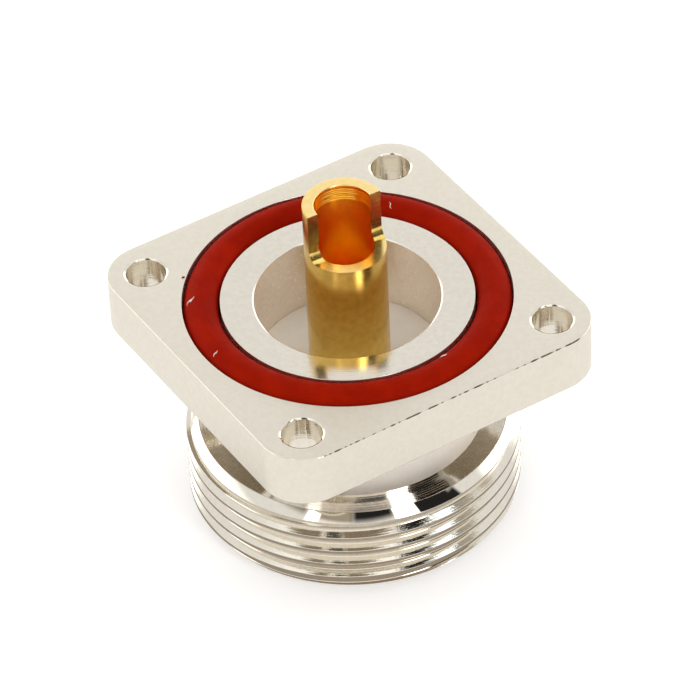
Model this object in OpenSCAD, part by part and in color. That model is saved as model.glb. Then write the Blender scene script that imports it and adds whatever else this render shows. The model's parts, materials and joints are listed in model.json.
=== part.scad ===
// Coaxial panel jack with a square four-hole flange, a threaded coupling barrel and a solder cup.
// It stands on its mating face at z = 0, on its own axis, with the panel face and the solder cup up.
// Lengths are in millimetres and angles in degrees.

/* [Flange] */
// Side of the square flange
flange_w = 32; // [31:0.5:40]
// Thickness of the flange
flange_t = 4.9; // [4:0.1:8]
// Radius of the flange's four corners
corner_r = 4; // [1:0.25:6]
// Distance from each mounting hole's axis to the two sides of the flange nearest it
hole_inset = 3.5; // [3:0.1:4]
// Diameter of the mounting holes
hole_d = 3.5; // [2.5:0.1:3.8]
// Width of the edge break at both ends of each mounting hole
hole_break = 0.14; // [0.05:0.01:0.3]

/* [Neck and threaded barrel] */
// Diameter of the neck between the flange and the barrel
neck_d = 22.7; // [19:0.1:25]
// Length of the neck
neck_l = 7.7; // [3:0.1:15]
// Height of the bevel that leads from the shoulder to the thread
bevel_h = 0.4; // [0.2:0.05:1]
// Width of the same bevel, across the radius
bevel_w = 1.15; // [0.5:0.05:1.5]
// Major diameter of the coupling thread
thread_d = 29; // [28:0.1:31]
// Length of the thread, from the mating face to the bevel
thread_l = 8; // [7:0.1:15]
// Pitch of the thread
pitch = 1.5; // [1.2:0.05:2]
// Width of the flat on each thread crest
crest_w = 0.33; // [0.1:0.01:0.4]
// Depth of the thread
thread_depth = 0.58; // [0.2:0.01:0.6]
// Slope of each thread flank from the radial direction
flank_angle = 30; // [25:1:32]
// Width of the 45 degree chamfer at the start of the thread
end_chamfer = 0.95; // [0.6:0.05:1.4]

/* [Bore] */
// Diameter of the line bore, in which the beads sit
line_d = 16; // [15:0.1:17]
// Width of the edge break where the line bore meets the panel face
bore_break = 0.2; // [0.05:0.05:0.4]
// Diameter of the guide bore that the mating plug enters
guide_d = 18.2; // [17.6:0.1:20]
// Depth of the guide bore, from the mating face to the reference plane
guide_depth = 6.5; // [5:0.1:7]
// Width of the 45 degree lead-in at the mouth of the guide bore
mouth_chamfer = 1.2; // [0.4:0.1:1.8]
// Inner diameter of the lip that stops the beads
lip_d = 14.6; // [13:0.1:14.8]
// Thickness of that lip
lip_t = 0.8; // [0.5:0.1:1.5]
// Depth of the bead seat, from the mating face to the back of the lip
seat_depth = 9.6; // [9:0.1:11]

/* [Flange seal] */
// Diameter of the O-ring's round section
seal_section_d = 3; // [2:0.1:3.4]
// Width left between the seal groove and each side of the flange
groove_margin = 1.88; // [1.2:0.01:2.4]
// Height of the flat on which the O-ring has settled
seal_flat = 0.04; // [0.01:0.01:0.1]
// Depth of the seal groove
groove_depth = 2.3; // [1.2:0.1:2.8]
// Gap between the O-ring and the inner wall of its groove
groove_gap_in = 0.13; // [0.05:0.01:0.3]
// Gap between the O-ring and the outer wall of its groove
groove_gap_out = 0.12; // [0.05:0.01:0.3]

/* [Insulator beads] */
// Thickness of the bead nearest the mating face
front_bead_t = 2.6; // [2:0.1:3.5]
// Thickness of the bead on the solder side
rear_bead_t = 1.87; // [1:0.01:3]
// Radial gap between the beads and the line bore, into which they are pressed
bead_gap = 0; // [0:0.01:0.1]
// Radial gap between the contact and the holes in the beads
contact_gap = 0.02; // [0:0.01:0.1]

/* [Centre contact] */
// Outer diameter of the contact
contact_d = 7; // [6.2:0.1:7.6]
// Diameter of the collar that the beads trap
collar_d = 9.4; // [8.6:0.1:11]
// Thickness of that collar
collar_t = 1; // [0.6:0.1:1.6]
// Length by which the contact's socket stands ahead of the reference plane
socket_lead = 1.6; // [1:0.1:2.5]
// Diameter of the socket's hole
socket_d = 4.1; // [3.6:0.05:4.8]
// Depth of the socket's hole, without its drill point
socket_depth = 6.2; // [5:0.1:8]
// Number of slots across the socket, each of which parts two fingers
socket_cuts = 2; // [1:1:3]
// Width of each slot
slot_w = 0.5; // [0.3:0.05:0.7]
// Length of each slot
slot_l = 4.4; // [3:0.1:4.6]
// Width of the chamfers inside and outside the socket's mouth
socket_chamfer = 0.35; // [0.1:0.05:0.5]
// Height of the solder cup's rim above the flange
cup_reach = 10.1; // [7:0.1:16]
// Diameter of the solder cup's hole
cup_d = 5; // [4:0.1:5.6]
// Depth of the solder cup's hole, without its drill point
cup_depth = 9; // [6.5:0.1:10]
// Width of the edge break round the cup's rim
cup_break = 0.08; // [0.02:0.01:0.15]
// Height of the opening cut in the side of the cup
notch_h = 4.6; // [3:0.1:6]
// Distance of the opening's flat from the contact's axis
notch_offset = 0.1; // [0:0.05:1]
// Radius of the heel between the opening's flat and its floor
notch_heel_r = 0.9; // [0.4:0.1:1.5]
// Turn of the opening round the axis, from facing +X
notch_turn = -3.5; // [-180:0.5:180]
// Full angle of the drill point at the end of the contact's two holes
drill_angle = 118; // [90:1:140]

/* [Hidden] */
$fn = 96;
// Length by which a cutting shape runs past the face that it opens
over = 1;

// Heights of the levels above the mating face
shoulder_z = thread_l + bevel_h;
flange_z = shoulder_z + neck_l;
panel_z = flange_z + flange_t;
groove_z = panel_z - groove_depth;
collar_z = seat_depth + front_bead_t - collar_t;
rear_bead_z = seat_depth + front_bead_t;
rear_bead_top = rear_bead_z + rear_bead_t;
socket_z = guide_depth - socket_lead;
cup_z = panel_z + cup_reach;
notch_z = cup_z - notch_h;

// Distance of each mounting hole's axis from the connector's, along X and along Y
hole_reach = flange_w / 2 - hole_inset;

// Radii
thread_r = thread_d / 2;
root_r = thread_r - thread_depth;
shoulder_r = thread_r - bevel_w;
line_r = line_d / 2;
guide_r = guide_d / 2;
contact_r = contact_d / 2;
groove_out_r = flange_w / 2 - groove_margin;
seal_mid_r = groove_out_r - groove_gap_out - seal_section_d / 2;
groove_in_r = seal_mid_r - seal_section_d / 2 - groove_gap_in;

// Thread profile: axial length of one flank, and the turns that fit above the chamfer
flank_l = thread_depth * tan(flank_angle);
turns = floor((thread_l - crest_w) / pitch);

// One groove of the thread, whose upper edge is at height z, as points down the outside
function groove_points(z) = [
    [thread_r, z],
    [root_r, z - flank_l],
    [root_r, z - pitch + crest_w + flank_l],
    [thread_r, z - pitch + crest_w],
];

// The grooves, as rings of the thread's own profile and spacing, from the bevel downwards
module thread_grooves() {
    for (i = [0:turns - 1])
        let (z = thread_l - crest_w - i * pitch)
            rotate_extrude() polygon(concat([[thread_r + over, z]], groove_points(z),
                                            [[thread_r + over, z - pitch + crest_w]]));
}

// The turned outside, from the mating face up to the flange's underside
module turned_outside() {
    difference() {
        rotate_extrude() polygon([
            [0, 0],
            [thread_r - end_chamfer, 0],
            [thread_r, end_chamfer],
            [thread_r, thread_l],
            [shoulder_r, shoulder_z],
            [neck_d / 2, shoulder_z],
            [neck_d / 2, flange_z + flange_t / 2],
            [0, flange_z + flange_t / 2],
        ]);
        thread_grooves();
    }
}

// A square plate with round corners
module rounded_plate(side, thickness, radius) {
    inner = side - 2 * radius;
    translate([-side / 2, -inner / 2, 0]) cube([side, inner, thickness]);
    translate([-inner / 2, -side / 2, 0]) cube([inner, side, thickness]);
    for (x = [-1, 1], y = [-1, 1])
        translate([x * inner / 2, y * inner / 2, 0]) cylinder(h = thickness, r = radius);
}

// A through hole with both of its edges broken, for a plate that starts at z = 0
module broken_hole(diameter, thickness, width) {
    r = diameter / 2;
    rotate_extrude() polygon([
        [0, -over],
        [r + width, -over],
        [r + width, 0],
        [r, width],
        [r, thickness - width],
        [r + width, thickness],
        [r + width, thickness + over],
        [0, thickness + over],
    ]);
}

// The inside of the body: guide bore, lip and line bore, from the mating face up
module bore() {
    rotate_extrude() polygon([
        [0, -over],
        [guide_r + mouth_chamfer, -over],
        [guide_r + mouth_chamfer, 0],
        [guide_r, mouth_chamfer],
        [guide_r, guide_depth],
        [line_r, guide_depth],
        [line_r, seat_depth - lip_t],
        [lip_d / 2, seat_depth - lip_t],
        [lip_d / 2, seat_depth],
        [line_r, seat_depth],
        [line_r, panel_z - bore_break],
        [line_r + bore_break, panel_z],
        [line_r + bore_break, panel_z + over],
        [0, panel_z + over],
    ]);
}

// Flange, neck and threaded barrel, machined from one bar and plated
module body() {
    color("gainsboro") difference() {
        union() {
            turned_outside();
            translate([0, 0, flange_z]) rounded_plate(flange_w, flange_t, corner_r);
        }
        bore();
        translate([0, 0, groove_z]) difference() {
            cylinder(h = groove_depth + over, r = groove_out_r);
            translate([0, 0, -over]) cylinder(h = groove_depth + 3 * over, r = groove_in_r);
        }
        for (x = [-1, 1], y = [-1, 1])
            translate([x * hole_reach, y * hole_reach, flange_z])
                broken_hole(hole_d, flange_t, hole_break);
    }
}

// O-ring that seals the panel face, settled on the floor of its groove
module flange_seal() {
    color("firebrick") translate([0, 0, groove_z]) rotate_extrude() intersection() {
        translate([seal_mid_r, seal_section_d / 2 - seal_flat]) circle(d = seal_section_d);
        square([groove_out_r, seal_section_d]);
    }
}

// A blind hole from z = 0 upwards, with a drill point at its end
module drilled(diameter, depth) {
    translate([0, 0, -over]) cylinder(h = depth + over, d = diameter);
    translate([0, 0, depth]) cylinder(h = diameter / 2 / tan(drill_angle / 2), r1 = diameter / 2, r2 = 0);
}

// The opening in the side of the cup: a flat, a floor and the round heel between them
module cup_opening() {
    reach = contact_d;
    rotate([0, 0, notch_turn]) translate([notch_offset, contact_d, notch_z])
        rotate([90, 0, 0]) linear_extrude(2 * contact_d) {
            translate([notch_heel_r, 0]) square([reach, notch_h + over]);
            translate([0, notch_heel_r]) square([reach, notch_h - notch_heel_r + over]);
            translate([notch_heel_r, notch_heel_r]) circle(r = notch_heel_r);
        }
}

// One-piece plated contact: slotted socket, collar and solder cup
module center_contact() {
    color("goldenrod") difference() {
        rotate_extrude() polygon([
            [0, socket_z],
            [contact_r - socket_chamfer, socket_z],
            [contact_r, socket_z + socket_chamfer],
            [contact_r, collar_z],
            [collar_d / 2, collar_z],
            [collar_d / 2, collar_z + collar_t],
            [contact_r, collar_z + collar_t],
            [contact_r, cup_z - cup_break],
            [contact_r - cup_break, cup_z],
            [0, cup_z],
        ]);
        translate([0, 0, socket_z]) drilled(socket_d, socket_depth);
        translate([0, 0, socket_z]) cylinder(h = socket_chamfer, r1 = socket_d / 2 + socket_chamfer,
                                             r2 = socket_d / 2);
        translate([0, 0, cup_z]) mirror([0, 0, 1]) drilled(cup_d, cup_depth);
        translate([0, 0, cup_z - cup_break]) cylinder(h = cup_break, r1 = cup_d / 2,
                                                      r2 = cup_d / 2 + cup_break);
        for (i = [0:socket_cuts - 1])
            rotate([0, 0, 45 + i * 180 / socket_cuts])
                translate([-contact_d, -slot_w / 2, socket_z - over])
                    cube([2 * contact_d, slot_w, slot_l + over]);
        cup_opening();
    }
}

// A bead from z = 0 up, which fills the line bore round the contact
module bead_ring(thickness) {
    difference() {
        cylinder(h = thickness, r = line_r - bead_gap);
        translate([0, 0, -over]) cylinder(h = thickness + 2 * over, r = contact_r + contact_gap);
    }
}

// Bead on the mating side, seated on the lip, with a recess for the collar in its back
module front_bead() {
    color("ivory") translate([0, 0, seat_depth]) difference() {
        bead_ring(front_bead_t);
        translate([0, 0, front_bead_t - collar_t])
            cylinder(h = collar_t + over, r = collar_d / 2 + contact_gap);
    }
}

// Bead on the solder side, which holds the collar in its recess
module rear_bead() {
    color("ivory") translate([0, 0, rear_bead_z]) bead_ring(rear_bead_t);
}

body();
flange_seal();
center_contact();
front_bead();
rear_bead();
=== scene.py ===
"""Dresses a square-flange coaxial panel jack.

The jack is a nickel-plated body turned and milled from one bar, a red O-ring in a groove round its bore, and
a gold-plated contact held between two white beads. Its coupling thread, its eased edges and its machining
marks are made here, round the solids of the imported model. Sizes are millimetres until a mesh is made.
"""

import json
import logging
import math
from dataclasses import dataclass, field
from enum import Enum
from random import Random
from typing import Iterable, Sequence

import bmesh
import bpy
from mathutils import Matrix, Vector, noise
from mathutils.geometry import delaunay_2d_cdt


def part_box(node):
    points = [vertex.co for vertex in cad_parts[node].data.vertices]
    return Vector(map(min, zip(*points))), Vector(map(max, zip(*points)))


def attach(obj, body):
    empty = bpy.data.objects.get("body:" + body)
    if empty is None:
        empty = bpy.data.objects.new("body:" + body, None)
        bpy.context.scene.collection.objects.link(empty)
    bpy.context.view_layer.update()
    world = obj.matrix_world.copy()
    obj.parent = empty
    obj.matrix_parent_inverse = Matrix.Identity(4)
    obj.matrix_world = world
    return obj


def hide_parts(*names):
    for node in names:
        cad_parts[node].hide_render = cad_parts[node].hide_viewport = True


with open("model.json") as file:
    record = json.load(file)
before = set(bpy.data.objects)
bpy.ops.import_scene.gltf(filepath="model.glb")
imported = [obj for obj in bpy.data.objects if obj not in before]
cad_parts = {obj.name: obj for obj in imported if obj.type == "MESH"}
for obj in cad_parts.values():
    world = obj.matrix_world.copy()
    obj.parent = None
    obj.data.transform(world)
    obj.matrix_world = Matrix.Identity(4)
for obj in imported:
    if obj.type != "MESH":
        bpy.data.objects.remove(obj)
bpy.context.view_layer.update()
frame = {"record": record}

LOG = logging.getLogger("panel_jack")
BODY = "root"
MM = 0.001
# Segments round a turned surface, and round each flange corner and mounting hole
ROUND_STEPS = 300
CORNER_STEPS = 24
HOLE_STEPS = 96
# Length of one step along the flange's straight sides
SIDE_STEP = 0.25
# Edges that turn by more than this are sharp, and eased corners turn by less at each step
SHARP_TURN = math.radians(10)
EASE_STEP = math.radians(8)
# Quarter turn of the shader's grain, so that marks round the axis blur what they mirror up and down
LAY_TURN = 0.25

# The triangulation's setting that keeps what lies inside its outline, and its tolerance in millimetres
INSIDE = 1
EPSILON = 1e-6

Point = tuple[float, float, float]
Flat = tuple[float, float]
Colour = tuple[float, float, float]


# ---------------------------------------------------------------- finishes


class Graph:
    """A material's node tree, built by short calls."""

    def __init__(self, name: str) -> None:
        """Starts an empty material.

        Args:
            name: The material's name.
        """
        self.material = bpy.data.materials.new(name)
        self.material.use_nodes = True
        self.start(self.material.node_tree, "Object")

    @classmethod
    def for_world(cls, world: bpy.types.World) -> "Graph":
        """Starts the node tree of a room, whose position is a direction."""
        graph = cls.__new__(cls)
        graph.start(world.node_tree, "Generated")
        return graph

    def start(self, tree: bpy.types.NodeTree, space: str) -> None:
        """Empties a node tree and adds its position.

        Args:
            tree: The node tree.
            space: The coordinates that its position is read in.
        """
        self.tree = tree
        self.tree.nodes.clear()
        self.position = self.add("ShaderNodeTexCoord").outputs[space]

    def add(self, kind: str, inputs: dict | None = None, **settings: object) -> bpy.types.Node:
        """Adds one node.

        Args:
            kind: The node's Blender type.
            inputs: Values or sockets for its inputs, by name or number.
            **settings: Properties of the node.

        Returns:
            The new node.
        """
        node = self.tree.nodes.new(kind)
        for name, value in settings.items():
            setattr(node, name, value)
        for key, value in (inputs or {}).items():
            if isinstance(value, bpy.types.NodeSocket):
                self.tree.links.new(value, node.inputs[key])
            else:
                node.inputs[key].default_value = value
        return node

    def math(self, operation: str, *values: object) -> bpy.types.NodeSocket:
        """Adds a maths node and gives its result."""
        return self.add("ShaderNodeMath", dict(enumerate(values)), operation=operation).outputs[0]

    def ramp(self, value: bpy.types.NodeSocket, low: float, high: float, out_low: float = 0.0,
             out_high: float = 1.0) -> bpy.types.NodeSocket:
        """Maps a value smoothly from one range to another.

        Args:
            value: The value to map.
            low: Start of its range.
            high: End of its range.
            out_low: Result at the start.
            out_high: Result at the end.

        Returns:
            The mapped value.
        """
        node = self.add("ShaderNodeMapRange", {0: value, 1: low, 2: high, 3: out_low, 4: out_high},
                        interpolation_type="SMOOTHSTEP")
        return node.outputs[0]

    def noise(self, scale: float, detail: float = 2.0, stretch: Point = (1, 1, 1),
              rough: float = 0.5) -> bpy.types.NodeSocket:
        """Adds three-dimensional noise in the object's own space.

        Args:
            scale: Size of the noise's cells, in millimetres.
            detail: Number of finer layers.
            stretch: Factors for the frequency along X, Y and Z.
            rough: Strength of each finer layer.

        Returns:
            The noise, from 0 to 1.
        """
        place = self.add("ShaderNodeMapping", {"Vector": self.position, "Scale": stretch}).outputs[0]
        return self.add("ShaderNodeTexNoise", {"Vector": place, "Scale": 1 / (scale * MM), "Detail": detail,
                                               "Roughness": rough}).outputs[0]

    def marks(self, along: bpy.types.NodeSocket, pitch: float, detail: float = 2.0) -> bpy.types.NodeSocket:
        """Adds lines of random strength at one spacing, such as a tool leaves.

        Args:
            along: Distance across the lines, in metres.
            pitch: Spacing of the lines, in millimetres.
            detail: Number of finer layers.

        Returns:
            The lines' height, from 0 to 1.
        """
        return self.add("ShaderNodeTexNoise", {"W": along, "Scale": 1 / (pitch * MM), "Detail": detail},
                        noise_dimensions="1D").outputs[0]

    def radius(self) -> bpy.types.NodeSocket:
        """Gives the distance from the connector's axis, in metres."""
        flat = self.add("ShaderNodeVectorMath", {0: self.position, 1: (1, 1, 0)}, operation="MULTIPLY")
        return self.add("ShaderNodeVectorMath", {0: flat.outputs[0]}, operation="LENGTH").outputs["Value"]

    def height(self) -> bpy.types.NodeSocket:
        """Gives the height above the mating face, in metres."""
        return self.add("ShaderNodeSeparateXYZ", {0: self.position}).outputs["Z"]

    def tint(self, share: bpy.types.NodeSocket, low: Colour | bpy.types.NodeSocket,
             high: Colour) -> bpy.types.NodeSocket:
        """Blends two colours.

        Args:
            share: How much of the second colour there is, from 0 to 1.
            low: The first colour.
            high: The second colour.

        Returns:
            The blended colour.
        """
        first = low if isinstance(low, bpy.types.NodeSocket) else (*low, 1)
        return self.add("ShaderNodeMix", {0: share, 6: first, 7: (*high, 1)}, data_type="RGBA").outputs[2]

    def bump(self, height: bpy.types.NodeSocket, depth: float,
             under: bpy.types.NodeSocket | None = None) -> bpy.types.NodeSocket:
        """Turns a height into a bump.

        Args:
            height: The height, from 0 to 1.
            depth: Depth of the bump, in millimetres.
            under: A bump that this one lies on.

        Returns:
            The bumped normal.
        """
        inputs = {"Height": height, "Distance": depth * MM, "Strength": 1.0}
        if under is not None:
            inputs["Normal"] = under
        return self.add("ShaderNodeBump", inputs).outputs[0]

    def patches(self, size: float, detail: float, low: float = 0.0, high: float = 1.0, start: float = 0.3,
                end: float = 0.7) -> bpy.types.NodeSocket:
        """Adds a value that wanders between two levels in soft patches.

        Args:
            size: Size of the patches, in millimetres.
            detail: Number of finer layers.
            low: The lower level.
            high: The upper level.
            start: Level of the noise at which a patch starts.
            end: Level at which it is full.

        Returns:
            The value.
        """
        return self.ramp(self.noise(size, detail), start, end, low, high)

    def finish(self, inputs: dict) -> bpy.types.Material:
        """Closes the tree with a principled shader.

        Args:
            inputs: Values or sockets for the shader.

        Returns:
            The finished material.
        """
        shader = self.add("ShaderNodeBsdfPrincipled", inputs)
        self.add("ShaderNodeOutputMaterial", {"Surface": shader.outputs[0]})
        return self.material


class Run(Enum):
    """The way that a layer of relief runs."""

    EVEN = "the same in every direction"
    ROUND = "in rings of growing radius, as facing leaves"
    ALONG = "in rings one above the other, as turning leaves"


@dataclass(frozen=True)
class Relief:
    """One layer of a surface's relief, with its spacing and its depth in millimetres."""

    spacing: float
    depth: float
    detail: float = 2.0
    run: Run = Run.EVEN
    stretch: Point = (1, 1, 1)
    rough: float = 0.5

    def bump(self, graph: Graph, under: bpy.types.NodeSocket | None) -> bpy.types.NodeSocket:
        """Adds the layer to a material.

        Args:
            graph: The material's node tree.
            under: The bump that the layer lies on.

        Returns:
            The bumped normal.
        """
        if self.run is Run.ROUND:
            height = graph.marks(graph.radius(), self.spacing, self.detail)
        elif self.run is Run.ALONG:
            height = graph.marks(graph.height(), self.spacing, self.detail)
        else:
            height = graph.noise(self.spacing, self.detail, self.stretch, self.rough)
        return graph.bump(height, self.depth, under)


def relief(graph: Graph, layers: Sequence[Relief]) -> bpy.types.NodeSocket:
    """Lays layers of relief on each other.

    Args:
        graph: The material's node tree.
        layers: The layers, from the lowest.

    Returns:
        The bumped normal.
    """
    normal = None
    for layer in layers:
        normal = layer.bump(graph, normal)
    return normal


class Grain(Enum):
    """The marks that making a plated face left on it, as layers of relief."""

    TUMBLED = (Relief(0.9, 0.002), Relief(0.16, 0.003, 3.0, rough=0.7))
    MILLED = (Relief(1.6, 0.003, stretch=(1, 1, 0.4)), Relief(0.13, 0.0012, stretch=(1, 1, 0.7)))
    FACED = (Relief(0.16, 0.004, 3.0, Run.ROUND), Relief(0.2, 0.0004))
    TURNED = (Relief(0.12, 0.0015, run=Run.ALONG), Relief(0.2, 0.0004))
    DRILLED = (Relief(0.3, 0.012, 3.0, Run.ALONG), Relief(0.3, 0.003))
    THREADED = (Relief(0.09, 0.0025, run=Run.ROUND),
                Relief(0.3, 0.005, 3.0, stretch=(1, 1, 2.2), rough=0.65))
    BRIGHT = (Relief(2.4, 0.001, 1.0),)


@dataclass(frozen=True)
class NickelFinish:
    """Bright nickel plate over one kind of machined face, some faces tinted lighter or darker as painted
    light or shade.
    """

    name: str
    grain: Grain
    roughness: float
    # How much the marks run round the axis, from 0 to 1
    lay: float = 0.0
    tint: Colour = (0.81, 0.762, 0.67)
    shade: Colour = (0.775, 0.726, 0.63)
    # Less than 1 where the plate scatters part of the light, which lightens a face in shade as painted light
    metallic: float = 1.0

    def material(self) -> bpy.types.Material:
        """Makes the plate's material."""
        graph = Graph(self.name)
        inputs = {
            "Base Color": graph.tint(graph.patches(0.45, 3.0), self.tint, self.shade),
            "Metallic": self.metallic,
            "Roughness": graph.patches(0.25, 2.0, self.roughness * 0.9, self.roughness * 1.1),
            "Normal": relief(graph, self.grain.value),
        }
        if self.lay > 0:
            inputs["Anisotropic"] = self.lay
            inputs["Anisotropic Rotation"] = LAY_TURN
            inputs["Tangent"] = graph.add("ShaderNodeTangent", direction_type="RADIAL", axis="Z").outputs[0]
        return graph.finish(inputs)


@dataclass(frozen=True)
class GoldFinish:
    """Gold plate over a turned contact, some faces tinted lighter or darker as painted light or shade."""

    name: str
    roughness: float
    mark_pitch: float
    mark_depth: float
    speck_depth: float = 0.0015
    tint: Colour = (0.92, 0.65, 0.2)
    shade: Colour = (0.80, 0.53, 0.13)

    def material(self) -> bpy.types.Material:
        """Makes the plate's material."""
        graph = Graph(self.name)
        layers = (Relief(self.mark_pitch, self.mark_depth, 3.0, Run.ALONG),
                  Relief(0.2, self.speck_depth, 3.0))
        return graph.finish({
            "Base Color": graph.tint(graph.patches(0.6, 3.0, start=0.25, end=0.8), self.tint, self.shade),
            "Metallic": 1.0,
            "Roughness": graph.patches(0.2, 2.0, self.roughness * 0.9, self.roughness * 1.1),
            "Normal": relief(graph, layers),
        })


@dataclass(frozen=True)
class RubberFinish:
    """Red silicone rubber with a dry, faintly dusty skin."""

    name: str
    tint: Colour = (0.305, 0.0085, 0.0005)
    shade: Colour = (0.26, 0.0065, 0.0005)
    roughness: float = 0.58
    sheen: float = 0.02

    def material(self) -> bpy.types.Material:
        """Makes the rubber's material."""
        graph = Graph(self.name)
        return graph.finish({
            "Base Color": graph.tint(graph.patches(1.6, 4.0), self.tint, self.shade),
            "Roughness": graph.patches(0.4, 3.0, self.roughness * 0.9, self.roughness * 1.15),
            "Specular IOR Level": self.sheen,
            "Normal": relief(graph, (Relief(0.5, 0.006, 3.0), Relief(0.09, 0.0025))),
        })


@dataclass(frozen=True)
class BeadFinish:
    """White fluoropolymer, turned, with a waxy depth."""

    name: str
    tint: Colour = (0.96, 0.94, 0.91)
    shade: Colour = (0.92, 0.9, 0.86)
    # Share of the light that goes under the surface, and how far its red, green and blue go, in metres
    depth: float = 0.25
    reach: Colour = (0.0012, 0.0011, 0.001)

    def material(self) -> bpy.types.Material:
        """Makes the bead's material."""
        graph = Graph(self.name)
        return graph.finish({
            "Base Color": graph.tint(graph.patches(2.0, 3.0), self.tint, self.shade),
            "Roughness": graph.patches(0.4, 2.0, 0.38, 0.5),
            "Subsurface Weight": self.depth,
            "Subsurface Radius": self.reach,
            "Subsurface Scale": 1.0,
            "Normal": relief(graph, (Relief(0.18, 0.006, run=Run.ROUND), Relief(0.2, 0.002))),
        })


@dataclass(frozen=True)
class FibreFinish:
    """Pale cotton lint."""

    name: str
    tint: Colour = (0.86, 0.84, 0.82)
    shade: Colour = (0.688, 0.672, 0.656)
    roughness: float = 0.9

    def material(self) -> bpy.types.Material:
        """Makes the lint's material."""
        graph = Graph(self.name)
        return graph.finish({"Base Color": graph.tint(graph.patches(0.2, 2.0), self.tint, self.shade),
                             "Roughness": self.roughness})


# Painted shade: the flange's top face has a darker tint than the rest of the same plate
PANEL_FACE = NickelFinish("nickel_panel_face_painted_shade", Grain.TUMBLED, 0.34, tint=(0.71, 0.665, 0.575),
                          shade=(0.68, 0.635, 0.545))
FLANGE_SIDE = NickelFinish("nickel_flange_side", Grain.MILLED, 0.38)
# Painted shade: the shoulder, under the flange, has a darker tint than the rest of the same plate
SHOULDER = NickelFinish("nickel_shoulder_painted_shade", Grain.FACED, 0.10, 0.9, (0.68, 0.62, 0.52), (0.60, 0.54, 0.44))
# Painted shade: the flange's underside has a much darker tint than the rest of the same plate
UNDERSIDE = NickelFinish("nickel_underside_painted_shade", Grain.FACED, 0.26, 1.0, (0.48, 0.43, 0.35), (0.42, 0.37, 0.30))
# Painted shade: a dark brown finish on the deepest nicks of the flange's top edge, standing in for the
# shadow in them
PAINTED_NICK_SHADE = NickelFinish("nickel_nick_painted_shade", Grain.BRIGHT, 0.3, tint=(0.24, 0.16, 0.12), shade=(0.16, 0.11, 0.085))
FACED = NickelFinish("nickel_faced", Grain.FACED, 0.16, 0.9)
# Painted light: the neck, in the flange's shade, has a lighter tint than the rest of the same plate and is
# partly not metallic, which lightens it further
NECK = NickelFinish("nickel_neck_painted_light", Grain.MILLED, 0.5, tint=(0.93, 0.87, 0.8), shade=(0.9, 0.84, 0.77),
                    metallic=0.6)
LAND = NickelFinish("nickel_land", Grain.FACED, 0.12, 0.5)
BEVEL = NickelFinish("nickel_bevel", Grain.BRIGHT, 0.02)
THREAD = NickelFinish("nickel_thread", Grain.THREADED, 0.05)
CREST = NickelFinish("nickel_crest", Grain.TURNED, 0.16, 0.8)
# Painted light: the bore wall has a lighter tint than the rest of the same plate
BORE = NickelFinish("nickel_bore_painted_light", Grain.TURNED, 0.3, 0.8, (0.95, 0.87, 0.77), (0.92, 0.84, 0.74))
HOLE = NickelFinish("nickel_hole", Grain.DRILLED, 0.14, 0.6)
EDGE = NickelFinish("nickel_edge", Grain.BRIGHT, 0.06)
# Painted shade: the outside of the contact has a darker tint than the rest of the same gold plate
GOLD_OUTSIDE = GoldFinish("gold_outside_painted_shade", 0.22, 0.2, 0.0012, tint=(0.76, 0.515, 0.13),
                          shade=(0.65, 0.42, 0.09))
# Painted shade: inside the cup and the socket the gold has a deeper, darker orange tint, standing in for the
# shade and the light passed between the walls
GOLD_INSIDE = GoldFinish("gold_inside_painted_shade", 0.33, 0.24, 0.009, 0.0005, (0.93, 0.49, 0.035), (0.9, 0.45, 0.03))
# Painted light: the rings in the cup's mouth have a lighter tint than the rest of the cup's inside
GOLD_RINGS = GoldFinish("gold_rings_painted_light", 0.24, 0.24, 0.003, 0.0005, (0.98, 0.55, 0.07), (0.95, 0.5, 0.05))
# Painted light: the rim and the opening's floor have a paler, lighter tint than the rest of the same gold
# plate
GOLD_RIM = GoldFinish("gold_rim_painted_light", 0.2, 0.1, 0.002, 0.001, (1.0, 0.78, 0.36), (0.97, 0.72, 0.28))
GOLD_CUT = GoldFinish("gold_cut", 0.17, 0.35, 0.004, 0.002)
RUBBER = RubberFinish("red_silicone")
BEAD = BeadFinish("white_fluoropolymer")
LINT = FibreFinish("cotton_lint")

Finish = NickelFinish | GoldFinish | RubberFinish | BeadFinish | FibreFinish


# ---------------------------------------------------------------- meshes


@dataclass(frozen=True)
class Turn:
    """A corner of a section, with the finish of the face that leads to it and how far it is eased."""

    out: float
    z: float
    finish: Finish
    ease: float = 0.0


def eased(corners: Sequence[Turn]) -> list[Turn]:
    """Rounds the corners of a section that ask for it.

    Args:
        corners: The section's corners in order.

    Returns:
        The corners, with an arc of short steps in place of each eased one.
    """
    smooth: list[Turn] = []
    for index, corner in enumerate(corners):
        if corner.ease <= 0 or index in (0, len(corners) - 1):
            smooth.append(corner)
            continue
        here = Vector((corner.out, corner.z))
        back = (Vector((corners[index - 1].out, corners[index - 1].z)) - here).normalized()
        ahead = (Vector((corners[index + 1].out, corners[index + 1].z)) - here).normalized()
        turn = math.pi - back.angle(ahead)
        reach = corner.ease * math.tan(turn / 2)
        centre = here + (back + ahead).normalized() * math.hypot(reach, corner.ease)
        steps = max(2, math.ceil(turn / EASE_STEP))
        start = here + back * reach - centre
        side = 1 if back.y * ahead.x > back.x * ahead.y else -1
        broken = EDGE if isinstance(corner.finish, NickelFinish) else corner.finish
        for step in range(steps + 1):
            spoke = Vector(swung(start.x, start.y, side * turn * step / steps))
            smooth.append(Turn(centre.x + spoke.x, centre.y + spoke.y, broken if step else corner.finish))
    return smooth


def swung(x: float, y: float, turn: float) -> Flat:
    """Turns a point about the axis."""
    return x * math.cos(turn) - y * math.sin(turn), x * math.sin(turn) + y * math.cos(turn)


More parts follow.
